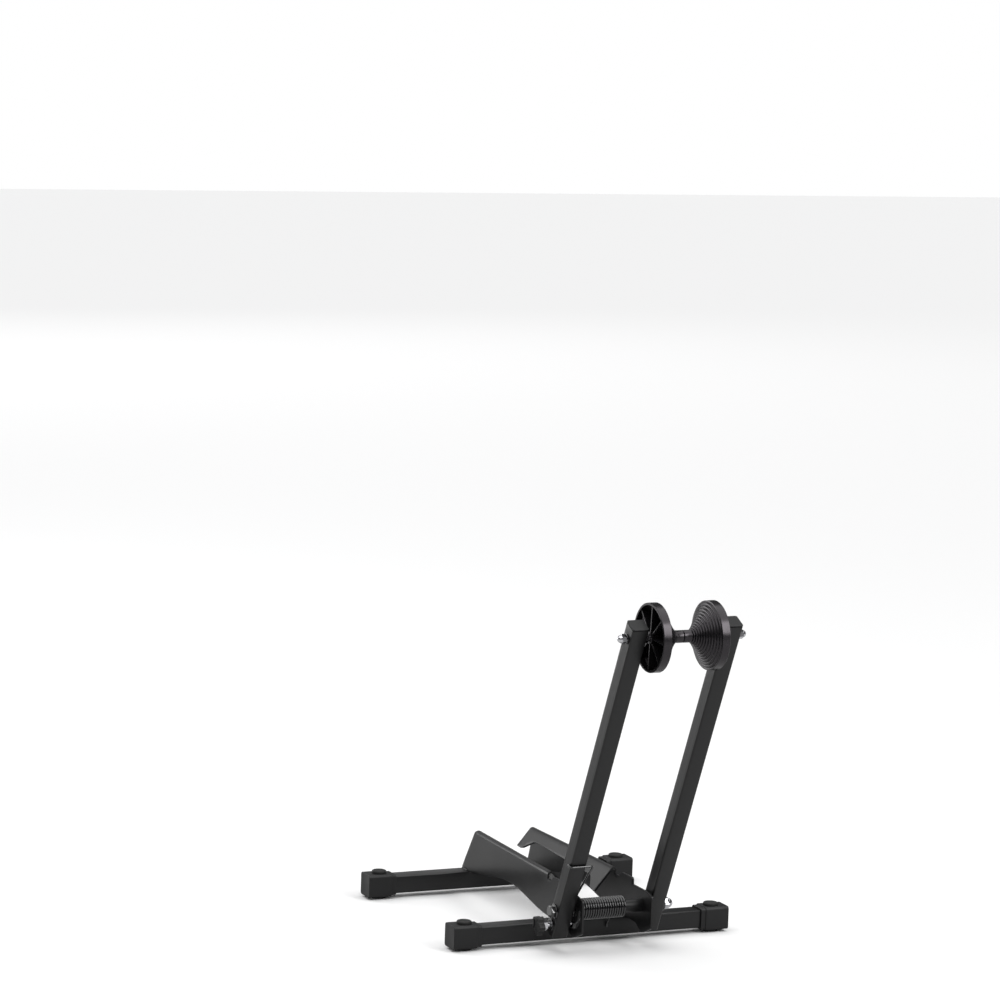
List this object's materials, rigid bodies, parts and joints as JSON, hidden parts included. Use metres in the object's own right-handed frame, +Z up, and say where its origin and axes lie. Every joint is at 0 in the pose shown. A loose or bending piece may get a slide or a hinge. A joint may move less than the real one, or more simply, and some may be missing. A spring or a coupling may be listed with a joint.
{
  "type": "floor bike rack",
  "caption": "Low floor stand for parking a bicycle by one wheel: a folded trough between cross tubes holds the tyre, and leaning sprung arms press cone rollers against it.",
  "frame": {"origin": "middle of the rack's box at floor level, the plane of the foot pads' undersides", "axes": "+X along the cross tubes, with the lock knob on the -X side; +Y back towards the bicycle; +Z up"},
  "size_m": [0.36, 0.5332, 0.4417],
  "materials": {
    "powder_coated_steel": "satin black powder coat",
    "black_moulding": "matte, finely grained",
    "black_rubber": "matte",
    "black_nylon": "satin moulding",
    "chromed_steel": "bright plated",
    "blackened_steel": "black, semi-gloss"
  },
  "bodies": {
    "base": {"front_cross_tube": "powder_coated_steel", "front_left_foot_cap": "black_moulding", "front_left_top_button": "black_rubber", "front_left_foot_pad": "black_rubber", "front_right_foot_cap": "black_moulding", "front_right_top_button": "black_rubber", "front_right_foot_pad": "black_rubber", "rear_cross_tube": "powder_coated_steel", "rear_left_foot_cap": "black_moulding", "rear_left_top_button": "black_rubber", "rear_left_foot_pad": "black_rubber", "rear_right_foot_cap": "black_moulding", "rear_right_top_button": "black_rubber", "rear_right_foot_pad": "black_rubber", "right_side_plate": "powder_coated_steel", "left_side_plate": "powder_coated_steel", "pivot_bolt": "blackened_steel", "pivot_sleeve": "powder_coated_steel", "pivot_domed_nut": "chromed_steel", "left_pivot_spacer": "blackened_steel", "left_pivot_washer": "blackened_steel", "right_pivot_spacer": "blackened_steel", "right_pivot_washer": "blackened_steel", "torsion_spring": "blackened_steel"},
    "arm_frame": {"left_arm": "powder_coated_steel", "right_arm": "powder_coated_steel", "left_arm_plug": "black_moulding", "right_arm_plug": "black_moulding", "roller_axle": "chromed_steel", "left_axle_inner_nut": "chromed_steel", "right_axle_inner_nut": "chromed_steel", "left_axle_domed_nut": "chromed_steel", "right_axle_domed_nut": "chromed_steel", "left_axle_washer": "blackened_steel", "right_axle_washer": "blackened_steel", "lock_washer": "blackened_steel", "slot_nut": "blackened_steel"},
    "left_roller": {"left_roller": "black_nylon"},
    "right_roller": {"right_roller": "black_nylon"},
    "lock_knob": {"lock_knob": "black_moulding", "knob_ferrule": "chromed_steel", "lock_stud": "chromed_steel"}
  },
  "joints": [
    {"name": "arm_fold", "type": "hinge", "parent": "base", "child": "arm_frame", "pos_m": [0, -0.06354, 0.0515], "axis": [1, 0, 0], "range_deg": [-115, 20], "stiffness_Nm_per_rad": 1.5, "springref_deg": -24.98, "deforming": ["torsion_spring"]},
    {"name": "left_roller_spin", "type": "hinge", "parent": "arm_frame", "child": "left_roller", "pos_m": [0, -0.22709, 0.40224], "axis": [1, 0, 0], "continuous": true},
    {"name": "right_roller_spin", "type": "hinge", "parent": "arm_frame", "child": "right_roller", "pos_m": [0, -0.22709, 0.40224], "axis": [1, 0, 0], "continuous": true},
    {"name": "lock_knob_turn", "type": "hinge", "parent": "arm_frame", "child": "lock_knob", "pos_m": [0, -0.0553, 0.03383], "axis": [1, 0, 0], "range_deg": [-360, 0]}
  ]
}
